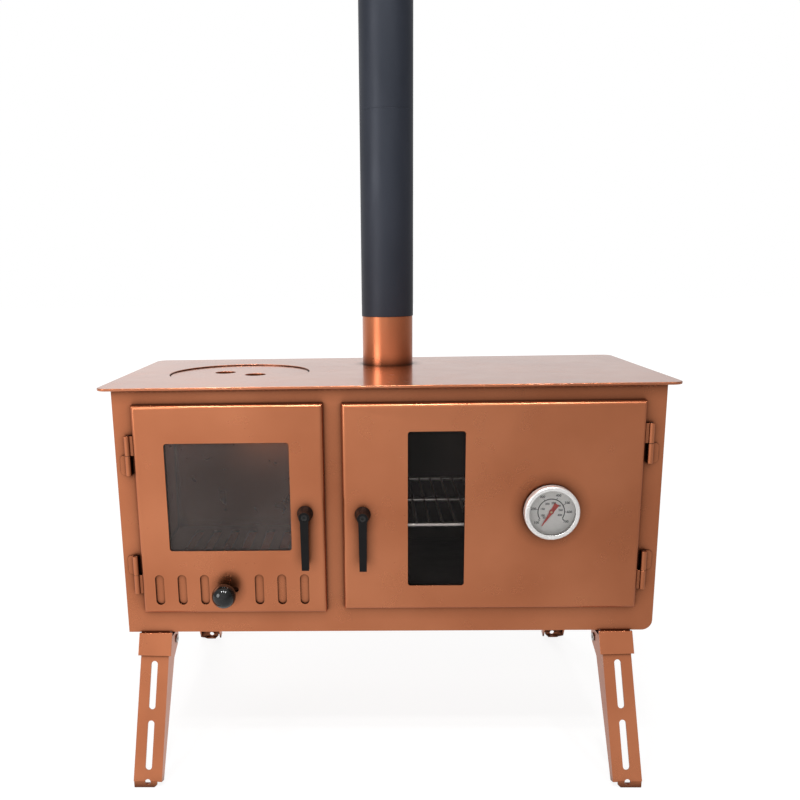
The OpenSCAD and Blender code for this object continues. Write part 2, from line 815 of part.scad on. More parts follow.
module glass_retainer(x, z, w, h) {
    difference() {
        translate([x - retainer_side, retainer_y, z - retainer_end])
            cube([w + 2 * retainer_side, retainer_t, h + 2 * retainer_end]);
        window_cut(x, z, w, h, retainer_y - cut, retainer_t + 2 * cut);
        at_studs(x, z, w, h) rod_y(0, 0, retainer_y - cut, retainer_t + 2 * cut, stud_d / 2 + pin_fit);
    }
}

module glass_nuts(x, z, w, h) {
    at_studs(x, z, w, h) difference() {
        translate([0, nut_y, 0]) rotate([-90, 0, 0]) cylinder(h = nut_h, d = nut_flats / cos(30), $fn = 6);
        rod_y(0, 0, nut_y - cut, nut_h + 2 * cut, stud_d / 2 + pin_fit);
    }
}

module rope_seal(w, h) {
    seal_d = -door_gap - pan_inner_y;
    inner = seal_in + seal_w;
    translate([0, pan_inner_y, 0]) difference() {
        translate([seal_in, 0, seal_in]) cube([w - 2 * seal_in, seal_d, h - 2 * seal_in]);
        translate([inner, -cut, inner]) cube([w - 2 * inner, seal_d + 2 * cut, h - 2 * inner]);
    }
}

module firebox_door_panel() {
    color(copper_paint) fire_side() {
        difference() {
            door_pan(fire_door_w, fire_door_h);
            window_cut(fire_win_in, fire_win_up, fire_win_w, fire_win_h, pan_face_y - cut, door_t + 2 * cut);
            for (off = vent_offsets) translate([vent_mid + off, 0, vent_up])
                upright(pan_face_y - cut, door_t + 2 * cut) slot_2d(vent_w, vent_h);
            translate([knob_in + vent_travel / 2, 0, vent_up]) upright(pan_face_y - cut, door_t + 2 * cut)
                flat_slot_2d(vent_travel + stem_d + 2 * slider_fit, stem_d + 2 * slider_fit);
            rod_y(fire_latch_in, fire_latch_up, pan_face_y - cut, door_t + 2 * cut, bush_d / 2);
        }
        glass_studs(fire_win_in, fire_win_up, fire_win_w, fire_win_h);
    }
}

module firebox_glass() {
    color(smoked_glass) fire_side() glass_pane(fire_win_in, fire_win_up, fire_win_w, fire_win_h);
}

module firebox_glass_retainer() {
    color(dark_iron) fire_side() glass_retainer(fire_win_in, fire_win_up, fire_win_w, fire_win_h);
}

module firebox_glass_nuts() {
    color(bright_steel) fire_side() glass_nuts(fire_win_in, fire_win_up, fire_win_w, fire_win_h);
}

module firebox_seal() {
    color(rope_grey) fire_side() rope_seal(fire_door_w, fire_door_h);
}

// Shouldered studs on the door, with heads that hold the slider plate
module vent_guide_studs() {
    shank = slider_t + 2 * slider_fit;
    color(bright_steel) fire_side() for (side = [-1, 1])
        translate([vent_mid + side * guide_pitch / 2, 0, vent_up + guide_up]) {
            rod_y(0, 0, pan_inner_y, shank + guide_head_t, guide_d / 2);
            rod_y(0, 0, pan_inner_y + shank, guide_head_t, guide_head_d / 2);
        }
}

module vent_slider() {
    color(copper_paint) fire_side() difference() {
        translate([slider_left, slider_y, slider_low])
            cube([slider_right - slider_left, slider_t, slider_high - slider_low]);
        for (off = vent_offsets) if (off > -vent_last) translate([vent_mid + off - vent_travel, 0, vent_up])
            upright(slider_y - cut, slider_t + 2 * cut) slot_2d(vent_w, vent_h);
        for (side = [-1, 1])
            translate([vent_mid + side * guide_pitch / 2 - vent_travel / 2, 0, vent_up + guide_up])
                upright(slider_y - cut, slider_t + 2 * cut)
                    flat_slot_2d(vent_travel + guide_d + 2 * slider_fit, guide_d + 2 * slider_fit);
    }
}

module vent_knob_stem() {
    color(bright_steel) fire_side()
        rod_y(knob_in, vent_up, pan_face_y - knob_out, slider_y - pan_face_y + knob_out, stem_d / 2);
}

// A ball with a flat foot and a blind hole for its stem
module vent_knob() {
    foot = knob_d / 2 - knob_flat;
    color(black_plastic) fire_side() translate([knob_in, pan_face_y - knob_out, vent_up]) rotate([-90, 0, 0])
        difference() {
            intersection() {
                sphere(d = knob_d, $fn = small_fn);
                translate([0, 0, -knob_d]) cylinder(h = knob_d + foot, d = 2 * knob_d, $fn = small_fn);
            }
            cylinder(h = knob_d, d = stem_d, $fn = small_fn);
        }
}

module oven_door_panel() {
    color(copper_paint) oven_side() {
        difference() {
            door_pan(oven_door_w, oven_door_h);
            window_cut(oven_win_in, oven_win_up, oven_win_w, oven_win_h, pan_face_y - cut, door_t + 2 * cut);
            rod_y(therm_in, therm_up, pan_face_y - cut, door_t + 2 * cut, thread_d / 2 + pin_fit);
            rod_y(oven_latch_in, oven_latch_up, pan_face_y - cut, door_t + 2 * cut, bush_d / 2);
        }
        glass_studs(oven_win_in, oven_win_up, oven_win_w, oven_win_h);
    }
}

module oven_glass() {
    color(smoked_glass) oven_side() glass_pane(oven_win_in, oven_win_up, oven_win_w, oven_win_h);
}

module oven_glass_retainer() {
    color(dark_iron) oven_side() glass_retainer(oven_win_in, oven_win_up, oven_win_w, oven_win_h);
}

module oven_glass_nuts() {
    color(bright_steel) oven_side() glass_nuts(oven_win_in, oven_win_up, oven_win_w, oven_win_h);
}

module oven_seal() {
    color(rope_grey) oven_side() rope_seal(oven_door_w, oven_door_h);
}

// Barrel half of a hinge, from z0 upwards, with its bore left for the caller to drill
module barrel_half(z0) {
    translate([-hinge_out, hinge_y, z0]) cylinder(h = (hinge_len - hinge_split) / 2, d = barrel_d, $fn = small_fn);
}

module hinge_bore(z0) {
    translate([-hinge_out, hinge_y, z0 - cut])
        cylinder(h = hinge_len / 2 + 2 * cut, d = hinge_pin_d + 2 * pin_fit, $fn = small_fn);
}

// The door's halves: the upper half of the upper hinge and the lower half of the lower hinge
module door_knuckles(low, high) {
    half = (hinge_len - hinge_split) / 2;
    for (z0 = [low - hinge_len / 2, high + hinge_split / 2]) difference() {
        union() {
            barrel_half(z0);
            translate([-hinge_out, hinge_y - leaf_t / 2, z0]) cube([hinge_out, leaf_t, half]);
        }
        hinge_bore(z0);
    }
}

// The frame's halves, each with a leaf that lies on the frame outside the barrel
module hinge_leaves(low, high) {
    half = (hinge_len - hinge_split) / 2;
    for (z0 = [low + hinge_split / 2, high - hinge_len / 2]) difference() {
        union() {
            barrel_half(z0);
            translate([-hinge_out - leaf_w, 0, z0]) upright(-leaf_t, leaf_t) {
                translate([leaf_r, 0]) square([leaf_w - leaf_r, half]);
                translate([0, leaf_r]) square([leaf_w, half - 2 * leaf_r]);
                for (z = [leaf_r, half - leaf_r]) translate([leaf_r, z]) circle(r = leaf_r, $fn = small_fn);
            }
        }
        hinge_bore(z0);
    }
}

module hinge_pins(low, high) {
    for (z = [low, high]) translate([-hinge_out, hinge_y, z - hinge_len / 2])
        cylinder(h = hinge_len, d = hinge_pin_d, $fn = small_fn);
}

module firebox_door_knuckles() {
    color(copper_paint) fire_side() door_knuckles(fire_hinge_low, fire_hinge_high);
}

module firebox_hinge_leaves() {
    color(copper_paint) fire_side() hinge_leaves(fire_hinge_low, fire_hinge_high);
}

module firebox_hinge_pins() {
    color(bright_steel) fire_side() hinge_pins(fire_hinge_low, fire_hinge_high);
}

module oven_door_knuckles() {
    color(copper_paint) oven_side() door_knuckles(oven_hinge_low, oven_hinge_high);
}

module oven_hinge_leaves() {
    color(copper_paint) oven_side() hinge_leaves(oven_hinge_low, oven_hinge_high);
}

module oven_hinge_pins() {
    color(bright_steel) oven_side() hinge_pins(oven_hinge_low, oven_hinge_high);
}

// Handle round the latch axis: a stepped hub and a tapered lever that hangs down
module lever_handle() {
    cone_h = hub_h - lever_t;
    translate([0, hub_back_y, 0]) difference() {
        union() {
            rotate([90, 0, 0]) cylinder(h = hub_h, d = hub_face_d, $fn = small_fn);
            rotate([90, 0, 0]) cylinder(h = cone_h, d1 = hub_d, d2 = hub_face_d, $fn = small_fn);
            translate([0, -hub_h, 0]) upright(0, lever_t) polygon([
                [-lever_w / 2, 0], [lever_w / 2, 0], [lever_end_w / 2, -lever_len], [-lever_end_w / 2, -lever_len]
            ]);
        }
        rotate([90, 0, 0]) translate([0, 0, hub_h - screw_sink])
            cylinder(h = screw_sink + cut, d = screw_head_d + 2 * screw_room, $fn = small_fn);
        rotate([90, 0, 0]) translate([0, 0, -cut]) cylinder(h = hub_h, d = screw_d + 2 * pin_fit, $fn = small_fn);
    }
}

// Socket screw through the hub, with a hexagon recess in its head
module handle_screw() {
    head_h = screw_sink - screw_low;
    shank = hub_h - screw_sink;
    translate([0, hub_back_y, 0]) rotate([90, 0, 0]) difference() {
        union() {
            cylinder(h = shank + head_h, d = screw_d, $fn = small_fn);
            translate([0, 0, shank]) cylinder(h = head_h, d = screw_head_d, $fn = small_fn);
        }
        translate([0, 0, shank + head_h - screw_key_deep]) cylinder(h = screw_key_deep + cut, d = screw_key, $fn = 6);
    }
}

module latch_spindle() {
    rod_y(0, 0, hub_back_y, tongue_y + tongue_t - hub_back_y, spindle_d / 2);
}

// Tongue that points up when the lever hangs down
module latch_tongue() {
    difference() {
        upright(tongue_y, tongue_t) {
            translate([-tongue_w / 2, 0]) square([tongue_w, tongue_reach]);
            circle(d = tongue_w, $fn = small_fn);
        }
        rod_y(0, 0, tongue_y - cut, tongue_t + 2 * cut, spindle_d / 2);
    }
}

module latch_bush() {
    difference() {
        union() {
            rod_y(0, 0, pan_face_y, -pan_face_y - door_gap, bush_d / 2);
            rod_y(0, 0, pan_inner_y, -pan_inner_y - door_gap, bush_flange_d / 2);
        }
        rod_y(0, 0, pan_face_y - cut, door_proud + 2 * cut, spindle_d / 2 + pin_fit);
    }
}

module at_fire_latch() {
    fire_side() translate([fire_latch_in, 0, fire_latch_up]) children();
}

module at_oven_latch() {
    oven_side() translate([oven_latch_in, 0, oven_latch_up]) children();
}

module firebox_handle() {
    color(black_plastic) at_fire_latch() lever_handle();
}

module firebox_handle_screw() {
    color(dark_iron) at_fire_latch() handle_screw();
}

module firebox_latch_spindle() {
    color(bright_steel) at_fire_latch() latch_spindle();
}

module firebox_latch_tongue() {
    color(dark_iron) at_fire_latch() latch_tongue();
}

module firebox_latch_bush() {
    color(bright_steel) at_fire_latch() latch_bush();
}

module oven_handle() {
    color(black_plastic) at_oven_latch() lever_handle();
}

module oven_handle_screw() {
    color(dark_iron) at_oven_latch() handle_screw();
}

module oven_latch_spindle() {
    color(bright_steel) at_oven_latch() latch_spindle();
}

module oven_latch_tongue() {
    color(dark_iron) at_oven_latch() latch_tongue();
}

module oven_latch_bush() {
    color(bright_steel) at_oven_latch() latch_bush();
}

// Puts a turned piece on the thermometer axis, with its drawing axis pointing out of the door
module on_dial(y) {
    oven_side() translate([therm_in, y, therm_up]) rotate([90, 0, 0]) children();
}

module thermometer_case() {
    color(bright_steel) on_dial(pan_face_y) difference() {
        cylinder(h = case_h, r = case_r);
        translate([0, 0, dial_up]) cylinder(h = case_h, r = case_inner_r);
        translate([0, 0, -cut]) cylinder(h = case_h, r = arbor_d / 2 + pin_fit, $fn = small_fn);
    }
}

module thermometer_bezel() {
    skirt = case_h - bezel_back;
    color(bright_steel) on_dial(case_front_y) difference() {
        union() {
            translate([0, 0, -skirt]) cylinder(h = skirt + lens_t, r = bezel_r);
            translate([0, 0, lens_t]) cylinder(h = lip_t, r1 = bezel_r, r2 = bezel_r - lip_t);
        }
        translate([0, 0, -skirt - cut]) cylinder(h = skirt + lens_t + cut, r = case_r + pin_fit);
        cylinder(h = lens_t + lip_t + cut, r = bezel_r - bezel_lip);
    }
}

module thermometer_dial() {
    color(dial_white) on_dial(dial_y) difference() {
        cylinder(h = dial_t, r = case_inner_r - pin_fit);
        translate([0, 0, -cut]) cylinder(h = dial_t + 2 * cut, d = arbor_d + 2 * dial_hole_gap, $fn = small_fn);
    }
}

module thermometer_lens() {
    color(smoked_glass) on_dial(case_front_y) cylinder(h = lens_t, r = case_r);
}

// Needle that points to the lower left when cold, on its arbor
module thermometer_needle() {
    color(needle_red) {
        on_dial(needle_y) rotate(-needle_start) {
            linear_extrude(height = needle_t)
                polygon([
                    [-needle_tail, needle_w / 2], [-needle_tail, -needle_w / 2],
                    [needle_len, -needle_tip_w / 2], [needle_len, needle_tip_w / 2]
                ]);
            cylinder(h = needle_t, d = needle_hub_d, $fn = small_fn);
        }
        on_dial(pan_face_y - arbor_sink)
            cylinder(h = pan_face_y - arbor_sink - needle_y + needle_t, d = arbor_d, $fn = small_fn);
    }
}

module thermometer_probe() {
    neck = door_proud - neck_end;
    color(bright_steel) oven_side() translate([therm_in, 0, therm_up]) {
        rod_y(0, 0, pan_face_y, neck, thread_d / 2);
        rod_y(0, 0, pan_face_y, probe_len, probe_d / 2);
    }
}

module thermometer_nut() {
    nut_len = -pan_inner_y - back_nut_end;
    color(bright_steel) oven_side() translate([therm_in, 0, therm_up]) difference() {
        translate([0, pan_inner_y, 0]) rotate([-90, 0, 0])
            cylinder(h = nut_len, d = back_nut_flats / cos(30), $fn = 6);
        rod_y(0, 0, pan_inner_y - cut, nut_len + 2 * cut, thread_d / 2 + pin_fit);
    }
}

// Puts a leg part at one corner: its pivot is the origin, and the leg leans towards negative Y and negative X
module at_leg(right, rear) {
    inset = right ? right_leg_in : left_leg_in;
    mirror([right ? 1 : 0, 0, 0]) mirror([0, rear ? 1 : 0, 0])
        translate([inset - body_w / 2, pivot_in - body_d / 2, pivot_z]) children();
}

module splayed() {
    rotate([0, leg_splay, 0]) children();
}

module leaned() {
    rotate([-leg_lean, leg_splay, 0]) children();
}

module pivot_rod(len, d) {
    rotate([0, 90, 0]) cylinder(h = len, d = d, center = true, $fn = small_fn);
}

// Side view of a flange: an ear round the pivot and a strip that narrows to the foot
module flange_2d() {
    polygon([
        [-face_off, 0], [-face_off, -leg_len], [-face_off + flange_foot, -leg_len],
        [-face_off + flange_top, -ear_drop], [ear_r * cos(ear_turn), -ear_r * sin(ear_turn)], [0, ear_r]
    ]);
    circle(r = ear_r, $fn = small_fn);
}

module leg_channel() {
    difference() {
        union() {
            translate([-leg_w / 2, -face_off, -leg_len]) cube([leg_w, leg_t, leg_len]);
            for (x = [-leg_w / 2, leg_w / 2 - leg_t]) sideways(x, leg_t) flange_2d();
        }
        for (k = [0, 1]) translate([0, 0, -leg_slot_top - leg_slot_len / 2 - k * (leg_slot_len + leg_slot_web)])
            upright(-face_off - cut, leg_t + 2 * cut) slot_2d(leg_slot_w, leg_slot_len);
        pivot_rod(2 * leg_w, rivet_d + 2 * pin_fit);
    }
}

// The channel leans; the lip below its bend is upright, and the foot plate lies flat on the floor
module leg() {
    lip_x = -leg_w / 2 + lip_out;
    lip_end = lip_x + lip_w;
    color(copper_paint) difference() {
        union() {
            leaned() leg_channel();
            translate([foot_x, 0, -pivot_z]) {
                upright(bend_y, leg_t) polygon([
                    [lip_x, 0], [lip_end - lip_cut, 0], [lip_end, lip_cut], [lip_end, lip_h + lip_lap],
                    [lip_x, lip_h + lip_lap]
                ]);
                translate([0, bend_y, 0]) linear_extrude(height = leg_t) polygon([
                    [lip_x, 0], [lip_end - lip_cut, 0], [foot_tip / 2, foot_len], [-foot_tip / 2, foot_len]
                ]);
            }
        }
        rod_y(foot_x, lip_h - pivot_z - peg_low, bend_y - 2 * leg_t, 6 * leg_t, peg_d / 2);
    }
}

module front_left_leg() {
    at_leg(false, false) leg();
}

module front_right_leg() {
    at_leg(true, false) leg();
}

module rear_left_leg() {
    at_leg(false, true) leg();
}

module rear_right_leg() {
    at_leg(true, true) leg();
}

// Folded bracket: a base under the body, a leaning stop plate in front of the leg and two cheeks inside it
module leg_bracket() {
    stop_y = -face_off - cheek_gap - bracket_t;
    base_y = stop_y / cos(leg_lean) + pivot_drop * tan(leg_lean) + bracket_t / 3;
    base_w = bracket_w - 2 * bracket_t;
    difference() {
        union() {
            translate([-base_w / 2, base_y, pivot_drop - bracket_t])
                cube([base_w, cheek_r + bracket_t - base_y, bracket_t]);
            intersection() {
                leaned() translate([-bracket_w / 2, stop_y, -stop_reach])
                    cube([bracket_w, bracket_t, stop_reach + 3 * pivot_drop]);
                translate([-bracket_w, -3 * face_off, -2 * pivot_drop])
                    cube([2 * bracket_w, 6 * face_off, 3 * pivot_drop]);
            }
            for (x = [-cheek_out, cheek_out - bracket_t]) splayed() sideways(x, bracket_t) {
                circle(r = cheek_r, $fn = small_fn);
                translate([-cheek_r, 0]) square([2 * cheek_r, pivot_drop - bracket_t / 2]);
            }
        }
        splayed() pivot_rod(2 * bracket_w, rivet_d + 2 * pin_fit);
    }
}

module leg_brackets() {
    color(copper_paint) for (right = [false, true]) for (rear = [false, true]) at_leg(right, rear) leg_bracket();
}

// Hollow rivets with a flared rim at each end
module leg_rivets() {
    len = leg_w + 2 * cheek_gap;
    color(dark_iron) for (right = [false, true]) for (rear = [false, true]) at_leg(right, rear)
        splayed() difference() {
            union() {
                pivot_rod(len + 2 * rivet_rim_t, rivet_d);
                for (side = [-1, 1]) translate([side * (len + rivet_rim_t) / 2, 0, 0])
                    pivot_rod(rivet_rim_t, rivet_rim_d);
            }
            pivot_rod(2 * len, rivet_bore);
        }
}

left_side_panel();
floor_and_right_side();
back_panel();
front_frame();
top_plate();
weld_bead();
hotplate_ring();
hotplate_lid();
flue_collar();
flue_section_lower();
flue_section_upper();
oven_box();
rack_runners();
oven_rack();
grate_ledges();
fire_grate();
firebox_door_panel();
firebox_glass();
firebox_glass_retainer();
firebox_glass_nuts();
firebox_seal();
firebox_door_knuckles();
firebox_hinge_leaves();
firebox_hinge_pins();
vent_guide_studs();
vent_slider();
vent_knob_stem();
vent_knob();
firebox_handle();
firebox_handle_screw();
firebox_latch_spindle();
firebox_latch_tongue();
firebox_latch_bush();
oven_door_panel();
oven_glass();
oven_glass_retainer();
oven_glass_nuts();
oven_seal();
oven_door_knuckles();
oven_hinge_leaves();
oven_hinge_pins();
thermometer_case();
thermometer_bezel();
thermometer_dial();
thermometer_lens();
thermometer_needle();
thermometer_probe();
thermometer_nut();
oven_handle();
oven_handle_screw();
oven_latch_spindle();
oven_latch_tongue();
oven_latch_bush();
leg_brackets();
leg_rivets();
front_left_leg();
front_right_leg();
rear_left_leg();
rear_right_leg();
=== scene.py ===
import bpy
import bmesh
import json
import math
import random
from mathutils import Matrix, Vector

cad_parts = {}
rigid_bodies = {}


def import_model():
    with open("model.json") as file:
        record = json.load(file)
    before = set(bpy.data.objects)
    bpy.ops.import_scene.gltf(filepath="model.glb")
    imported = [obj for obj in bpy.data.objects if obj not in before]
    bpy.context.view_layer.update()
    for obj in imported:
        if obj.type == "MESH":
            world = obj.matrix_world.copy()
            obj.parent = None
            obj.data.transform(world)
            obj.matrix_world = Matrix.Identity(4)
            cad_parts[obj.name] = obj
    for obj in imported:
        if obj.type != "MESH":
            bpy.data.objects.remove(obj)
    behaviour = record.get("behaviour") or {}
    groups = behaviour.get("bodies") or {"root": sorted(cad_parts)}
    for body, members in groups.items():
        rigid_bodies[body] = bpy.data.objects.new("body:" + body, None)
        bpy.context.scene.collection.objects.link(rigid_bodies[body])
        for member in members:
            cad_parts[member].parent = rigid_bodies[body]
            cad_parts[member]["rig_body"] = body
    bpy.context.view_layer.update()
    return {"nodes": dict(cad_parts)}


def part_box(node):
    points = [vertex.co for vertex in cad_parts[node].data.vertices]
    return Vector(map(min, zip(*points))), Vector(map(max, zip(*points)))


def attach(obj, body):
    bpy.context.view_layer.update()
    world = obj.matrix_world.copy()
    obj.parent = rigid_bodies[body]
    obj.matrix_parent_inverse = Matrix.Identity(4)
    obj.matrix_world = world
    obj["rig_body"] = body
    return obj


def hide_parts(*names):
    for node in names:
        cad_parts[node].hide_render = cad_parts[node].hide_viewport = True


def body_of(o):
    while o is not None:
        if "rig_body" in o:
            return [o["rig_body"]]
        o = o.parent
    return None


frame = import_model()
nodes = frame["nodes"]
scene = bpy.context.scene
print("frame loaded:", len(nodes), "nodes")

# camera at the reference viewing angle, for a square frame

cameraView = {
    "place": (-0.01674, -0.95458, 0.53815),
    "turn": 1.507,      # degrees to the left of straight ahead
    "down": 12.335,
    "roll": -0.910,
    "focalPixels": 816.64,
    "centre": (350.18, 448.17),
    "pixels": 800,
    "sensor": 36.0,
}


def makeCamera(v):
    data = bpy.data.cameras.new("photoCamera")
    cam = bpy.data.objects.new("photoCamera", data)
    scene.collection.objects.link(cam)
    yaw, pitch, roll = (math.radians(v[k]) for k in ("turn", "down", "roll"))
    forward = Vector((-math.sin(yaw) * math.cos(pitch), math.cos(yaw) * math.cos(pitch), -math.sin(pitch)))
    right = Vector((math.cos(yaw), math.sin(yaw), 0))
    up = right.cross(forward)
    rolledRight = right * math.cos(roll) + up * math.sin(roll)
    rolledUp = -right * math.sin(roll) + up * math.cos(roll)
    turn = Matrix((rolledRight, rolledUp, -forward)).transposed()
    cam.matrix_world = Matrix.Translation(Vector(v["place"])) @ turn.to_4x4()
    data.sensor_width = v["sensor"]
    data.lens = v["focalPixels"] * v["sensor"] / v["pixels"]
    data.shift_x = (v["pixels"] / 2 - v["centre"][0]) / v["pixels"]
    data.shift_y = (v["centre"][1] - v["pixels"] / 2) / v["pixels"]
    data.clip_start, data.clip_end = 0.01, 60
    scene.camera = cam
    return cam


makeCamera(cameraView)

def newMaterial(name):
    mat = bpy.data.materials.new(name)
    mat.use_nodes = True
    tree = mat.node_tree
    return mat, tree, tree.nodes["Principled BSDF"]


def objectCoords(tree, stretch=(1, 1, 1)):
    coords = tree.nodes.new("ShaderNodeTexCoord")
    mapping = tree.nodes.new("ShaderNodeMapping")
    mapping.inputs["Scale"].default_value = stretch
    tree.links.new(coords.outputs["Object"], mapping.inputs["Vector"])
    return mapping.outputs["Vector"]


def noise(tree, scale, detail=4.0, rough=0.5, stretch=(1, 1, 1)):
    tex = tree.nodes.new("ShaderNodeTexNoise")
    tex.inputs["Scale"].default_value = scale
    tex.inputs["Detail"].default_value = detail
    tex.inputs["Roughness"].default_value = rough
    tree.links.new(objectCoords(tree, stretch), tex.inputs["Vector"])
    return tex.outputs["Fac"]


def ramp(tree, source, stops):
    node = tree.nodes.new("ShaderNodeValToRGB")
    ends = node.color_ramp.elements
    ends[0].position, ends[0].color = stops[0][0], (*stops[0][1], 1)
    ends[1].position, ends[1].color = stops[-1][0], (*stops[-1][1], 1)
    for place, colour in stops[1:-1]:
        extra = ends.new(place)
        extra.color = (*colour, 1)
    tree.links.new(source, node.inputs["Fac"])
    return node.outputs["Color"]


def span(tree, source, low, high):
    node = tree.nodes.new("ShaderNodeMapRange")
    node.inputs["From Min"].default_value = 0.3
    node.inputs["From Max"].default_value = 0.7
    node.inputs["To Min"].default_value = low
    node.inputs["To Max"].default_value = high
    tree.links.new(source, node.inputs["Value"])
    return node.outputs["Result"]


def mixColours(tree, amount, first, second, how="MIX"):
    node = tree.nodes.new("ShaderNodeMix")
    node.data_type = "RGBA"
    node.blend_type = how
    if isinstance(amount, float):
        node.inputs["Factor"].default_value = amount
    else:
        tree.links.new(amount, node.inputs["Factor"])
    for key, value in (("A", first), ("B", second)):
        socket = [s for s in node.inputs if s.name == key and s.type == "RGBA"][0]
        if isinstance(value, tuple):
            socket.default_value = (*value, 1)
        else:
            tree.links.new(value, socket)
    return [s for s in node.outputs if s.type == "RGBA"][0]


def addBump(tree, shader, source, strength, distance, under=None):
    node = tree.nodes.new("ShaderNodeBump")
    node.inputs["Strength"].default_value = strength
    node.inputs["Distance"].default_value = distance
    tree.links.new(source, node.inputs["Height"])
    if under is not None:
        tree.links.new(under, node.inputs["Normal"])
    tree.links.new(node.outputs["Normal"], shader.inputs["Normal"])
    return node.outputs["Normal"]


copperLook = {
    "pale": (0.66, 0.225, 0.100),
    "deep": (0.56, 0.178, 0.074),
    "metallic": 0.93,
    "rough": (0.26, 0.34),
    "coat": 0.35,
    "coatRough": 0.22,
    "flake": 0.10,
    "fleckDark": (0.80, 0.80, 0.80),
    "grain": 0.05,
    "grainHigh": 0.00005,
    "flakeBump": 0.05,
    "flakeHigh": 0.00004,
    # noise: scale, detail, roughness and stretch
    "clouds": (9, 3, 0.45),
    "flakes": (2600, 2, 0.6),
    "patches": (34, 4, 0.6),
    "brushed": (900, 2, 0.5, (0.05, 1, 1)),
}
plateLook = dict(copperLook, rough=(0.22, 0.28), coat=0.75, coatRough=0.09, grain=0.02)

# painted shade: colour and coat darkened by ambient occlusion where two parts meet
creaseShadeLook = {"reach": 0.016, "from": 0.42, "to": 0.96, "darkest": (0.05, 0.035, 0.03), "samples": 8}


def paintedCreaseShade(tree, c):
    # painted shade: an ambient occlusion mask turned into a dark colour
    hollow = tree.nodes.new("ShaderNodeAmbientOcclusion")
    hollow.samples = c["samples"]
    hollow.inputs["Distance"].default_value = c["reach"]
    return ramp(tree, hollow.outputs["AO"], [(c["from"], c["darkest"]), (c["to"], (1.0, 1.0, 1.0))])


def copperCoat(name, look):
    mat, tree, shader = newMaterial(name)
    clouds = noise(tree, *look["clouds"])
    base = ramp(tree, clouds, [(0.35, look["deep"]), (0.65, look["pale"])])
    flakes = noise(tree, *look["flakes"])
    fleck = ramp(tree, flakes, [(0.42, look["fleckDark"]), (0.58, (1.0, 1.0, 1.0))])
    flecked = mixColours(tree, look["flake"], base, fleck, "MULTIPLY")
    # painted shade: the base colour is darkened in crevices by the occlusion mask
    creaseShadedColour = mixColours(tree, 1.0, flecked, paintedCreaseShade(tree, creaseShadeLook), "MULTIPLY")
    tree.links.new(creaseShadedColour, shader.inputs["Base Color"])
    shader.inputs["Metallic"].default_value = look["metallic"]
    # painted shade in the reflection: the coat weight falls off in the same crevices
    shadedCoatWeight = tree.nodes.new("ShaderNodeMath")
    shadedCoatWeight.operation = "MULTIPLY"
    shadedCoatWeight.inputs[1].default_value = look["coat"]
    tree.links.new(paintedCreaseShade(tree, creaseShadeLook), shadedCoatWeight.inputs[0])
    tree.links.new(shadedCoatWeight.outputs[0], shader.inputs["Coat Weight"])
    shader.inputs["Coat Roughness"].default_value = look["coatRough"]
    patches = noise(tree, *look["patches"])
    tree.links.new(span(tree, patches, *look["rough"]), shader.inputs["Roughness"])
    grain = addBump(tree, shader, noise(tree, *look["brushed"]), look["grain"], look["grainHigh"])
    addBump(tree, shader, flakes, look["flakeBump"], look["flakeHigh"], grain)
    return mat


pipeLook = {
    "dark": (0.019, 0.023, 0.034),
    "light": (0.029, 0.034, 0.048),
    "metallic": 0.25,
    "shine": 0.35,
    "rough": (0.40, 0.52),
    "clouds": (16, 3, 0.5, (1, 1, 0.35)),
    "streaks": (60, 3, 0.6, (1, 1, 0.2)),
    "pores": (900, 2, 0.5),
}


def pipeFinish(name, look):
    mat, tree, shader = newMaterial(name)
    clouds = noise(tree, *look["clouds"])
    shades = ramp(tree, clouds, [(0.35, look["dark"]), (0.65, look["light"])])
    tree.links.new(shades, shader.inputs["Base Color"])
    shader.inputs["Metallic"].default_value = look["metallic"]
    shader.inputs["Specular IOR Level"].default_value = look["shine"]
    tree.links.new(span(tree, noise(tree, *look["streaks"]), *look["rough"]), shader.inputs["Roughness"])
    addBump(tree, shader, noise(tree, *look["pores"]), 0.05, 0.00005)
    return mat


def brightSteel(name, colour, rough, brush=(1, 1, 1), scale=700, metallic=1.0):
    mat, tree, shader = newMaterial(name)
    streaks = noise(tree, scale, 3, 0.6, brush)
    dark = tuple(c * 0.86 for c in colour)
    tree.links.new(ramp(tree, streaks, [(0.35, dark), (0.65, colour)]), shader.inputs["Base Color"])
    shader.inputs["Metallic"].default_value = metallic
    tree.links.new(span(tree, streaks, rough * 0.8, rough * 1.25), shader.inputs["Roughness"])
    addBump(tree, shader, streaks, 0.05, 0.00004)
    return mat


def sootySteel(name, low, high, rough=0.7):
    mat, tree, shader = newMaterial(name)
    patches = ramp(tree, noise(tree, 14, 5, 0.6), [(0.3, low), (0.7, high)])
    tree.links.new(patches, shader.inputs["Base Color"])
    shader.inputs["Metallic"].default_value = 0.2
    tree.links.new(span(tree, noise(tree, 90, 3, 0.6), rough - 0.08, rough + 0.1), shader.inputs["Roughness"])
    addBump(tree, shader, noise(tree, 600, 3, 0.6), 0.15, 0.0001)
    return mat


def mouldedBlack(name, colour, rough, grain, shine):
    mat, tree, shader = newMaterial(name)
    shader.inputs["Specular IOR Level"].default_value = shine
    fine = noise(tree, 1500, 2, 0.5)
    lighter = tuple(c * 1.35 for c in colour)
    shades = ramp(tree, noise(tree, 120, 3, 0.5), [(0.35, colour), (0.65, lighter)])
    tree.links.new(shades, shader.inputs["Base Color"])
    tree.links.new(span(tree, fine, rough * 0.9, rough * 1.1), shader.inputs["Roughness"])
    addBump(tree, shader, fine, grain, 0.00005)
    return mat


ropeLook = {
    "dark": (0.16, 0.155, 0.145),
    "light": (0.36, 0.35, 0.33),
    "rough": 0.95,
    "scale": 130,
    "distortion": 1.5,
}


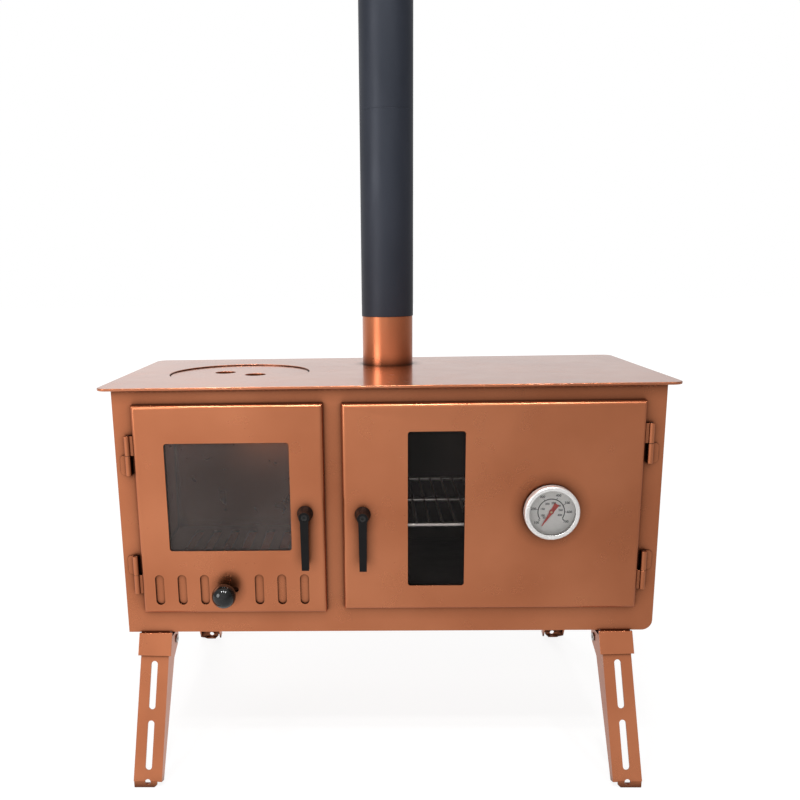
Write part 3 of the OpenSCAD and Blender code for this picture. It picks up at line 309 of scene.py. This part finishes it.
def wovenRope(name, look):
    mat, tree, shader = newMaterial(name)
    weave = tree.nodes.new("ShaderNodeTexWave")
    weave.inputs["Scale"].default_value = look["scale"]
    weave.inputs["Distortion"].default_value = look["distortion"]
    weave.bands_direction = "DIAGONAL"
    tree.links.new(objectCoords(tree), weave.inputs["Vector"])
    strands = ramp(tree, weave.outputs["Fac"], [(0.2, look["dark"]), (0.8, look["light"])])
    tree.links.new(strands, shader.inputs["Base Color"])
    shader.inputs["Roughness"].default_value = look["rough"]
    addBump(tree, shader, weave.outputs["Fac"], 0.6, 0.0005)
    return mat


def paneGlass(name, tint, edgeIndex, reflectionHazeColour, reflectionHaze):
    mat, tree, shader = newMaterial(name)
    tree.nodes.remove(shader)
    through = tree.nodes.new("ShaderNodeBsdfTransparent")
    through.inputs["Color"].default_value = (*tint, 1)
    # painted reflection: a patchy diffuse haze film that stands in for the reflection in the glass
    reflectionFilm = tree.nodes.new("ShaderNodeBsdfDiffuse")
    reflectionFilm.inputs["Color"].default_value = (*reflectionHazeColour, 1)
    reflectionPatches = tree.nodes.new("ShaderNodeMixShader")
    tree.links.new(span(tree, noise(tree, 7, 3, 0.5), *reflectionHaze), reflectionPatches.inputs["Fac"])
    tree.links.new(through.outputs["BSDF"], reflectionPatches.inputs[1])
    tree.links.new(reflectionFilm.outputs["BSDF"], reflectionPatches.inputs[2])
    gloss = tree.nodes.new("ShaderNodeBsdfGlossy")
    gloss.inputs["Color"].default_value = (1, 1, 1, 1)
    tree.links.new(span(tree, noise(tree, 25, 3, 0.5), 0.02, 0.06), gloss.inputs["Roughness"])
    edge = tree.nodes.new("ShaderNodeFresnel")
    edge.inputs["IOR"].default_value = edgeIndex
    mix = tree.nodes.new("ShaderNodeMixShader")
    tree.links.new(edge.outputs["Fac"], mix.inputs["Fac"])
    tree.links.new(reflectionPatches.outputs["Shader"], mix.inputs[1])
    tree.links.new(gloss.outputs["BSDF"], mix.inputs[2])
    tree.links.new(mix.outputs["Shader"], tree.nodes["Material Output"].inputs["Surface"])
    return mat


def paintedDial(name, low, high, rough=0.5):
    mat, tree, shader = newMaterial(name)
    shades = ramp(tree, noise(tree, 220, 3, 0.5), [(0.3, low), (0.7, high)])
    tree.links.new(shades, shader.inputs["Base Color"])
    speckle = noise(tree, 400, 2, 0.5)
    tree.links.new(span(tree, speckle, rough - 0.06, rough + 0.06), shader.inputs["Roughness"])
    addBump(tree, shader, noise(tree, 2200, 2, 0.5), 0.05, 0.00003)
    return mat


finish = {
    "copper": copperCoat("copperCoat", copperLook),
    "plate": copperCoat("copperPlate", plateLook),
    "pipe": pipeFinish("bluedPipe", pipeLook),
    "steel": brightSteel("brightSteel", (0.62, 0.61, 0.59), 0.28),
    "wire": brightSteel("rackWire", (0.90, 0.89, 0.87), 0.35),
    "bezel": brightSteel("polishedBezel", (0.96, 0.94, 0.92), 0.22, (1, 6, 1), 500, 0.55),
    "soot": sootySteel("sootedSteel", (0.012, 0.011, 0.011), (0.030, 0.028, 0.027)),
    "ringIron": sootySteel("ringIron", (0.020, 0.016, 0.014), (0.045, 0.036, 0.032), 0.6),
    "handle": mouldedBlack("handleBlack", (0.0035, 0.0028, 0.0030), 0.45, 0.10, 0.22),
    "ball": mouldedBlack("ballBlack", (0.004, 0.004, 0.004), 0.06, 0.01, 0.55),
    "rope": wovenRope("sealRope", ropeLook),
    # the haze colour and shares paint a reflection into each pane
    "glass": paneGlass("windowGlass", (0.86, 0.83, 0.81), 1.24, (0.50, 0.40, 0.37), (0.03, 0.10)),
    "clearPane": paneGlass("clearPane", (0.90, 0.88, 0.87), 1.16, (0.50, 0.40, 0.37), (0.0, 0.02)),
    "lens": paneGlass("dialGlass", (0.97, 0.97, 0.97), 1.25, (0.8, 0.8, 0.8), (0.0, 0.01)),
    "dial": paintedDial("dialFace", (0.90, 0.88, 0.85), (0.97, 0.95, 0.92)),
    "print": paintedDial("dialPrint", (0.010, 0.010, 0.010), (0.022, 0.022, 0.022)),
    "needle": paintedDial("needleRed", (0.55, 0.06, 0.05), (0.68, 0.09, 0.07), 0.4),
    "brass": brightSteel("pivotBrass", (0.72, 0.60, 0.36), 0.25),
}
print("finishes ready:", len(finish))

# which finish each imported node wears

wears = {
    "copper": """left_side_panel floor_and_right_side back_panel front_frame weld_bead flue_collar
        firebox_door_panel firebox_door_knuckles firebox_hinge_leaves vent_slider oven_door_panel
        oven_door_knuckles oven_hinge_leaves leg_brackets front_left_leg front_right_leg rear_left_leg
        rear_right_leg""",
    "plate": "top_plate hotplate_lid",
    "pipe": "flue_section_lower flue_section_upper",
    "steel": """firebox_glass_nuts oven_glass_nuts firebox_hinge_pins oven_hinge_pins vent_guide_studs
        vent_knob_stem firebox_latch_spindle oven_latch_spindle firebox_latch_bush oven_latch_bush
        thermometer_case thermometer_probe thermometer_nut leg_rivets""",
    "wire": "oven_rack",
    "bezel": "thermometer_bezel",
    "soot": """oven_box rack_runners grate_ledges fire_grate firebox_glass_retainer oven_glass_retainer
        firebox_latch_tongue oven_latch_tongue firebox_handle_screw oven_handle_screw""",
    "ringIron": "hotplate_ring",
    "handle": "firebox_handle oven_handle",
    "ball": "vent_knob",
    "rope": "firebox_seal oven_seal",
    "glass": "firebox_glass",
    "clearPane": "oven_glass",
    "lens": "thermometer_lens",
    "dial": "thermometer_dial",
    "needle": "thermometer_needle",
}
wornBy = {node: key for key, names in wears.items() for node in names.split()}


def dress(obj, mat):
    obj.data.materials.clear()
    obj.data.materials.append(mat)


for name, obj in nodes.items():
    dress(obj, finish[wornBy.get(name, "copper")])
print("nodes dressed:", len(nodes))

def bodyOf(node):
    return body_of(nodes[node])[0]


def addPiece(name, mesh, mat, body, replaced=()):
    obj = bpy.data.objects.new(name, mesh)
    scene.collection.objects.link(obj)
    dress(obj, mat)
    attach(obj, body)
    if replaced:
        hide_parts(*replaced)
    return obj


def meshFrom(work, name):
    bmesh.ops.recalc_face_normals(work, faces=work.faces)
    mesh = bpy.data.meshes.new(name)
    work.to_mesh(mesh)
    work.free()
    return mesh


def skinRings(work, rings):
    # closes a row of rings into one solid skin
    for one, two in zip(rings, rings[1:]):
        for k in range(len(one)):
            n = (k + 1) % len(one)
            work.faces.new((one[k], one[n], two[n], two[k]))
    work.faces.new(rings[0])
    work.faces.new(rings[-1])


def smoothBy(mesh, degrees):
    mesh.shade_smooth()
    mesh.set_sharp_from_angle(angle=math.radians(degrees))


rounding = {"join": 2e-6, "flat": 0.6, "corner": 32, "segments": 3}


def softened(node, width, r):
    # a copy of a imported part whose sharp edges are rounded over
    work = bmesh.new()
    work.from_mesh(nodes[node].data)
    bmesh.ops.remove_doubles(work, verts=work.verts, dist=r["join"])
    flat = math.radians(r["flat"])
    bmesh.ops.dissolve_limit(work, angle_limit=flat, verts=work.verts, edges=work.edges)
    mesh = bpy.data.meshes.new(node + "_rounded")
    work.to_mesh(mesh)
    work.free()
    smoothBy(mesh, r["corner"])
    obj = addPiece(mesh.name, mesh, finish[wornBy[node]], bodyOf(node), (node,))
    if width:
        bevel = obj.modifiers.new("edges", "BEVEL")
        bevel.width = width
        bevel.segments = r["segments"]
        bevel.limit_method = "ANGLE"
        bevel.angle_limit = math.radians(r["corner"])
        bevel.harden_normals = True
        bevel.miter_outer = "MITER_ARC"


# width of the rounding on each part's edges, in metres

sheetEdges = {
    "top_plate": 0.0009,
    "hotplate_lid": 0.0005,
    "front_frame": 0.0005,
    "left_side_panel": 0.0004,
    "floor_and_right_side": 0.0004,
    "back_panel": 0.0004,
    "firebox_door_panel": 0.0005,
    "oven_door_panel": 0.0005,
    "vent_slider": 0.0003,
    "firebox_door_knuckles": 0.0005,
    "oven_door_knuckles": 0.0005,
    "firebox_hinge_leaves": 0.0005,
    "oven_hinge_leaves": 0.0005,
    "front_left_leg": 0.0009,
    "front_right_leg": 0.0009,
    "rear_left_leg": 0.0009,
    "rear_right_leg": 0.0009,
    "leg_brackets": 0.0008,
    "firebox_handle": 0.0009,
    "oven_handle": 0.0009,
    "thermometer_bezel": 0.0010,
    "vent_knob": 0.0005,
    "flue_collar": 0.0003,
    "flue_section_lower": 0.0003,
    "flue_section_upper": 0.0003,
    "oven_rack": 0,
    "leg_rivets": 0.0003,
}
for node, width in sheetEdges.items():
    softened(node, width, rounding)
print("edges rounded:", len(sheetEdges))

weldBead = {
    "step": 0.0011,        # length between two rings of the bead
    "around": 10,
    "ripple": 0.45,        # share of the radius that comes and goes
    "wander": 0.12,        # share that changes at random
    "endFat": 0.4,
    "pace": (0.7, 1.3),    # how unevenly the lumps follow each other
    "lumpEvery": 0.0062,
    "seed": 7,
}


def makeWeldBead(b):
    rng = random.Random(b["seed"])
    lo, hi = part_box("weld_bead")
    lo, hi = Vector(lo), Vector(hi)
    ry, rz = (hi.y - lo.y) / 2, (hi.z - lo.z) / 2
    count = int((hi.x - lo.x) / b["step"])
    work = bmesh.new()
    rings = []
    phase = 0
    for i in range(count + 1):
        x = lo.x + (hi.x - lo.x) * i / count
        phase += 2 * math.pi * b["step"] / b["lumpEvery"] * rng.uniform(*b["pace"])
        fat = 1 - b["ripple"] * (0.5 - 0.5 * math.sin(phase)) - b["wander"] * rng.random()
        if i in (0, count):
            fat *= b["endFat"]
        ring = []
        for k in range(b["around"]):
            a = 2 * math.pi * k / b["around"]
            y = hi.y - ry + ry * fat * math.cos(a)
            ring.append(work.verts.new((x, y, hi.z - rz + rz * fat * math.sin(a))))
        rings.append(ring)
    skinRings(work, rings)
    mesh = meshFrom(work, "rippled_weld")
    smoothBy(mesh, 60)
    addPiece("rippled_weld", mesh, finish["copper"], bodyOf("weld_bead"), ("weld_bead",))


makeWeldBead(weldBead)
print("weld bead laid")

# the print on the dial: an arc, ticks and two rings of plain numbers
dialPrint = {
    "arcRadius": 0.0137,
    "arcWidth": 0.00095,
    "arcFrom": 213.0,
    "arcTo": -32.0,
    "arcSteps": 72,
    "tick": (0.0142, 0.0160, 0.0005),
    "thick": 0.00004,
    "bold": 0.00009,
    "outer": (0.0188, 0.0036, [(217.6, "100"), (169.8, "200"), (120.4, "300"), (68.3, "400"), (30.4, "500"),
                               (-0.9, "600"), (-34.6, "700")]),
    "inner": (0.0096, 0.0030, [(220.4, "50"), (203.8, "100"), (161.4, "150"), (117.0, "200"), (77.0, "250"),
                               (41.6, "300"), (10.3, "350"), (-22.6, "400")]),
}


def raisedStrip(work, inner, outer, centre, thick):
    # a closed band between two rows of points in the dial's plane
    rows = []
    for depth in (0, -thick):
        for row in (inner, outer):
            rows.append([work.verts.new(centre + Vector((x, depth, z))) for x, z in row])
    backIn, backOut, frontIn, frontOut = rows
    last = len(inner) - 1
    for k in range(last):
        work.faces.new((frontIn[k], frontIn[k + 1], frontOut[k + 1], frontOut[k]))
        work.faces.new((backIn[k], backIn[k + 1], backOut[k + 1], backOut[k]))
        work.faces.new((backIn[k], backIn[k + 1], frontIn[k + 1], frontIn[k]))
        work.faces.new((backOut[k], backOut[k + 1], frontOut[k + 1], frontOut[k]))
    for k in (0, last):
        work.faces.new((backIn[k], backOut[k], frontOut[k], frontIn[k]))


def onCircle(radius, degrees):
    a = math.radians(degrees)
    return radius * math.cos(a), radius * math.sin(a)


def numberMesh(text, size, thick, bold):
    curve = bpy.data.curves.new("number", "FONT")
    curve.body, curve.size = text, size
    curve.align_x, curve.align_y = "CENTER", "CENTER"
    curve.extrude = thick / 2
    curve.offset = bold
    curve.resolution_u = 3
    holder = bpy.data.objects.new("number", curve)
    mesh = bpy.data.meshes.new_from_object(holder)
    bpy.data.objects.remove(holder)
    bpy.data.curves.remove(curve)
    return mesh


def makeDialPrint(d):
    lo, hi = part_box("thermometer_dial")
    centre = Vector(((lo[0] + hi[0]) / 2, lo[1], (lo[2] + hi[2]) / 2))
    work = bmesh.new()
    half = d["arcWidth"] / 2
    step = (d["arcTo"] - d["arcFrom"]) / d["arcSteps"]
    angles = [d["arcFrom"] + step * k for k in range(d["arcSteps"] + 1)]
    rows = [[onCircle(d["arcRadius"] + side * half, a) for a in angles] for side in (-1, 1)]
    raisedStrip(work, rows[0], rows[1], centre, d["thick"])
    tickIn, tickOut, tickWide = d["tick"]
    for angle in [a for a, label in d["outer"][2]] + [d["arcFrom"], d["arcTo"]]:
        ax, az = onCircle(1, angle)
        sides = []
        for side in (-tickWide / 2, tickWide / 2):
            sides.append([(r * ax - side * az, r * az + side * ax) for r in (tickIn, tickOut)])
        raisedStrip(work, sides[0], sides[1], centre, d["thick"])
    for radius, size, labels in (d["outer"], d["inner"]):
        for angle, label in labels:
            mesh = numberMesh(label, size, d["thick"], d["bold"])
            x, z = onCircle(radius, angle)
            spot = centre + Vector((x, -d["thick"] / 2, z))
            mesh.transform(Matrix.Translation(spot) @ Matrix.Rotation(math.radians(90), 4, "X"))
            work.from_mesh(mesh)
            bpy.data.meshes.remove(mesh)
    bmesh.ops.remove_doubles(work, verts=work.verts, dist=1e-7)
    mesh = meshFrom(work, "dial_print")
    addPiece("dial_print", mesh, finish["print"], bodyOf("thermometer_dial"), ())


makeDialPrint(dialPrint)

pivotDot = {
    "radius": 0.00115,
    "height": 0.0004,
    "steps": 28,
    "dome": ((1.0, -0.0001), (1.0, 0.6), (0.75, 0.9), (0.3, 1.0)),   # shares of the radius and the height
}


def makePivotDot(d):
    lo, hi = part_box("thermometer_dial")
    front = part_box("thermometer_needle")[0][1]
    centre = Vector(((lo[0] + hi[0]) / 2, front, (lo[2] + hi[2]) / 2))
    work = bmesh.new()
    rings = []
    for radius, rise in d["dome"]:
        ring = []
        for k in range(d["steps"]):
            x, z = onCircle(d["radius"] * radius, 360 * k / d["steps"])
            ring.append(work.verts.new(centre + Vector((x, -d["height"] * rise, z))))
        rings.append(ring)
    skinRings(work, rings)
    mesh = meshFrom(work, "pivot_dot")
    smoothBy(mesh, 40)
    addPiece("pivot_dot", mesh, finish["brass"], bodyOf("thermometer_needle"), ())


makePivotDot(pivotDot)
print("dial printed")

# pale floor, white surround, soft lamps
studio = {
    "floorSize": 24.0,
    "floorColour": (0.86, 0.86, 0.86),
    "floorGlow": 0.80,         # share of plain white that the camera sees in the floor
    "floorWhite": 1.10,
    "floorFade": (0.9, 2.4),   # from the object outwards the floor turns plain white
    "floorAcross": (0.6, 0.9, 0.46),      # half width, then the level mirrors see left and right of it
    "worldWhite": 1.0,
    "worldFill": 0.40,
    "worldAcross": [(0.0, 0.42), (0.35, 0.80), (0.65, 0.70), (1.0, 0.18)],
    "lamps": [
        # name, place, aim, size, watts
        ("sideLamp", (-1.9, -1.5, 1.0), (0, 0, 0.3), 1.3, 18),
        ("backLamp", (-0.6, 1.6, 2.2), (0, 0, 0.4), 1.2, 14),
    ],
    "ceiling": {"y": (-1.1, -0.8), "x": (-0.6, 0.0, 0.6), "z": 1.95, "size": 0.16, "watts": 4.2},
}


def lightPath(tree, *names):
    path = tree.nodes.new("ShaderNodeLightPath")
    total = path.outputs[names[0]]
    for name in names[1:]:
        most = tree.nodes.new("ShaderNodeMath")
        most.operation = "MAXIMUM"
        tree.links.new(total, most.inputs[0])
        tree.links.new(path.outputs[name], most.inputs[1])
        total = most.outputs[0]
    return total


def mapAcross(tree, axisSource, low, high, left, right):
    # a level that runs from left to right along x
    split = tree.nodes.new("ShaderNodeSeparateXYZ")
    tree.links.new(axisSource, split.inputs[0])
    node = tree.nodes.new("ShaderNodeMapRange")
    for key, value in (("From Min", low), ("From Max", high), ("To Min", left), ("To Max", right)):
        node.inputs[key].default_value = value
    tree.links.new(split.outputs["X"], node.inputs["Value"])
    return node.outputs["Result"]


def mixShaders(tree, amount, first, second):
    mix = tree.nodes.new("ShaderNodeMixShader")
    tree.links.new(amount, mix.inputs["Fac"])
    tree.links.new(first, mix.inputs[1])
    tree.links.new(second, mix.inputs[2])
    return mix.outputs["Shader"]


def makeFloor(s):
    mesh = bpy.data.meshes.new("floor")
    h = s["floorSize"] / 2
    mesh.from_pydata([(-h, -h, 0), (h, -h, 0), (h, h, 0), (-h, h, 0)], [], [(0, 1, 2, 3)])
    floor = bpy.data.objects.new("floor", mesh)
    floor.location.z = -0.0002
    scene.collection.objects.link(floor)
    mat, tree, shader = newMaterial("paleFloor")
    shader.inputs["Base Color"].default_value = (*s["floorColour"], 1)
    shader.inputs["Roughness"].default_value = 0.9
    shader.inputs["Specular IOR Level"].default_value = 0.1
    glow = tree.nodes.new("ShaderNodeEmission")
    glow.inputs["Strength"].default_value = s["floorWhite"]
    share = tree.nodes.new("ShaderNodeMath")
    share.operation = "MULTIPLY"
    tree.links.new(lightPath(tree, "Is Camera Ray", "Is Transmission Ray"), share.inputs[0])
    length = tree.nodes.new("ShaderNodeVectorMath")
    length.operation = "LENGTH"
    away = tree.nodes.new("ShaderNodeTexCoord")
    tree.links.new(away.outputs["Object"], length.inputs[0])
    fade = tree.nodes.new("ShaderNodeMapRange")
    near, far = s["floorFade"]
    for key, value in (("From Min", near), ("From Max", far), ("To Min", s["floorGlow"]), ("To Max", 1.0)):
        fade.inputs[key].default_value = value
    tree.links.new(length.outputs["Value"], fade.inputs["Value"])
    tree.links.new(fade.outputs["Result"], share.inputs[1])
    seen = mixShaders(tree, share.outputs[0], shader.outputs["BSDF"], glow.outputs["Emission"])
    mirrored = tree.nodes.new("ShaderNodeEmission")
    coords = tree.nodes.new("ShaderNodeTexCoord")
    half, left, right = s["floorAcross"]
    level = mapAcross(tree, coords.outputs["Object"], -half, half, left, right)
    tree.links.new(level, mirrored.inputs["Strength"])
    both = mixShaders(tree, lightPath(tree, "Is Glossy Ray"), seen, mirrored.outputs["Emission"])
    tree.links.new(both, tree.nodes["Material Output"].inputs["Surface"])
    dress(floor, mat)


def makeWorld(s):
    world = bpy.data.worlds.new("whiteSurround")
    scene.world = world
    world.use_nodes = True
    tree = world.node_tree
    tree.nodes.clear()
    out = tree.nodes.new("ShaderNodeOutputWorld")
    levels = []
    for strength in (s["worldFill"], s["worldWhite"], 1.0):
        node = tree.nodes.new("ShaderNodeBackground")
        node.inputs["Color"].default_value = (1, 1, 1, 1)
        node.inputs["Strength"].default_value = strength
        levels.append(node)
    fill, white, mirrored = levels
    coords = tree.nodes.new("ShaderNodeTexCoord")
    across = mapAcross(tree, coords.outputs["Generated"], -1, 1, 0, 1)
    greys = ramp(tree, across, [(p, (v, v, v)) for p, v in s["worldAcross"]])
    tree.links.new(greys, mirrored.inputs["Color"])
    unseen = mixShaders(tree, lightPath(tree, "Is Glossy Ray"), fill.outputs[0], mirrored.outputs[0])
    seen = mixShaders(tree, lightPath(tree, "Is Camera Ray", "Is Transmission Ray"), unseen, white.outputs[0])
    tree.links.new(seen, out.inputs["Surface"])


def makeLamp(name, place, aim, size, watts):
    data = bpy.data.lights.new(name, "AREA")
    data.shape = "DISK"
    data.size = size
    data.energy = watts
    lamp = bpy.data.objects.new(name, data)
    lamp.location = place
    lamp.rotation_mode = "QUATERNION"
    lamp.rotation_quaternion = (Vector(aim) - Vector(place)).to_track_quat("-Z", "Y")
    scene.collection.objects.link(lamp)


makeFloor(studio)
makeWorld(studio)
for lamp in studio["lamps"]:
    makeLamp(*lamp)
grid = studio["ceiling"]
for row, y in enumerate(grid["y"]):
    for column, x in enumerate(grid["x"]):
        place, aim = (x, y, grid["z"]), (x * 0.3, 0, 0.3)
        makeLamp(f"ceilingLamp{row}{column}", place, aim, grid["size"], grid["watts"])
scene.view_settings.view_transform = "Standard"
print("studio ready")
